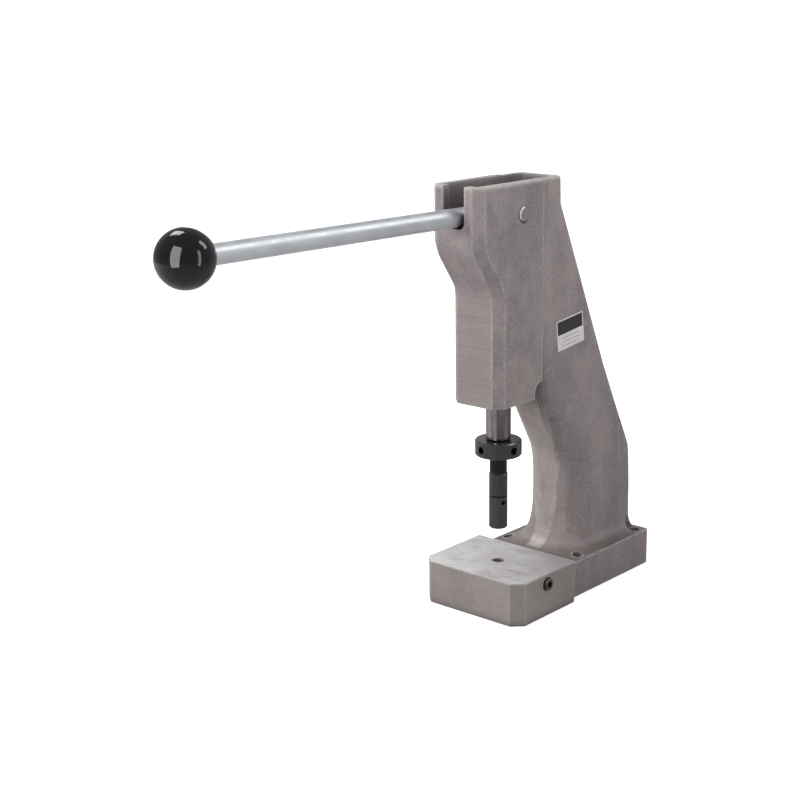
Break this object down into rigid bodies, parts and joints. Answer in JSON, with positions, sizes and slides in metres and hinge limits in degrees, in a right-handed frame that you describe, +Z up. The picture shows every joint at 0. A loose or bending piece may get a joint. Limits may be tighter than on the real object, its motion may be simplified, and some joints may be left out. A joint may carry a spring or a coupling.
{
  "type": "toggle arbor press",
  "caption": "Bench-top hand press: lever and toggle linkage drive a round ram down onto a flat anvil block carried by a C-shaped cast frame.",
  "frame": {"origin": "where the ram axis meets the bench plane, at the lower mouth of the die bore", "axes": "+Z up along the ram axis, -Y towards the operator and the ball handle, +X to the operator's right"},
  "size_m": [0.1026, 0.4917, 0.348],
  "materials": {
    "casting": "as-cast grey iron, blasted",
    "machined_block": "ground steel",
    "ground_steel": "ground and polished",
    "black_oxide": "black oxide, satin",
    "forged_steel": "machined steel, oiled",
    "bronze": "sintered bronze",
    "zinc_plate": "bright zinc plate",
    "brass": "turned brass",
    "black_phenolic": "polished black phenolic",
    "label_film": "printed film"
  },
  "bodies": {
    "press_frame": {"frame": "casting", "anvil_block": "machined_block", "block_screws": "black_oxide", "block_dowels": "ground_steel", "ram_bush_lower": "bronze", "ram_bush_upper": "bronze", "pivot_pin": "ground_steel", "hub_washers": "ground_steel", "side_label": "label_film"},
    "lever": {"lever_hub": "forged_steel", "hub_bushes": "bronze", "handle_rod": "zinc_plate", "knob_insert": "brass", "ball_knob": "black_phenolic", "knee_pin": "ground_steel", "knee_circlips": "black_oxide"},
    "link_pair": {"toggle_links": "forged_steel", "wrist_pin": "ground_steel", "wrist_circlips": "black_oxide"},
    "ram_body": {"ram": "ground_steel"},
    "tool": {"tool_spindle": "black_oxide", "press_pad": "black_oxide"},
    "ring": {"lock_ring": "black_oxide"},
    "pad_clamp": {"pad_set_screw": "black_oxide"},
    "die_clamp": {"die_set_screw": "black_oxide"}
  },
  "joints": [
    {"name": "lever_swing", "type": "hinge", "parent": "press_frame", "child": "lever", "pos_m": [0, 0, 0.321], "axis": [-1, 0, 0], "range_deg": [0, 55]},
    {"name": "link_fold", "type": "hinge", "parent": "lever", "child": "link_pair", "pos_m": [0, -0.01183, 0.29562], "axis": [1, 0, 0], "range_deg": [0, 82]},
    {"name": "ram_stroke", "type": "slide", "parent": "press_frame", "child": "ram_body", "axis": [0, 0, 1], "range_m": [0, 0.0281]},
    {"name": "spindle_height", "type": "slide", "parent": "ram_body", "child": "tool", "axis": [0, 0, 1], "range_m": [-0.01, 0.012]},
    {"name": "ring_turn", "type": "hinge", "parent": "ram_body", "child": "ring", "pos_m": [0, 0, 0.1324], "axis": [0, 0, 1], "continuous": true},
    {"name": "pad_screw_out", "type": "slide", "parent": "tool", "child": "pad_clamp", "axis": [0.9532, -0.3024, 0], "range_m": [0, 0.002]},
    {"name": "die_screw_travel", "type": "slide", "parent": "press_frame", "child": "die_clamp", "axis": [1, 0, 0], "range_m": [-0.003, 0.01]}
  ],
  "couplings": [
    {"joint": "link_fold", "follows": "lever_swing", "ratio": 1.4862},
    {"joint": "ram_stroke", "follows": "lever_swing", "m_per_rad": 0.029153}
  ]
}
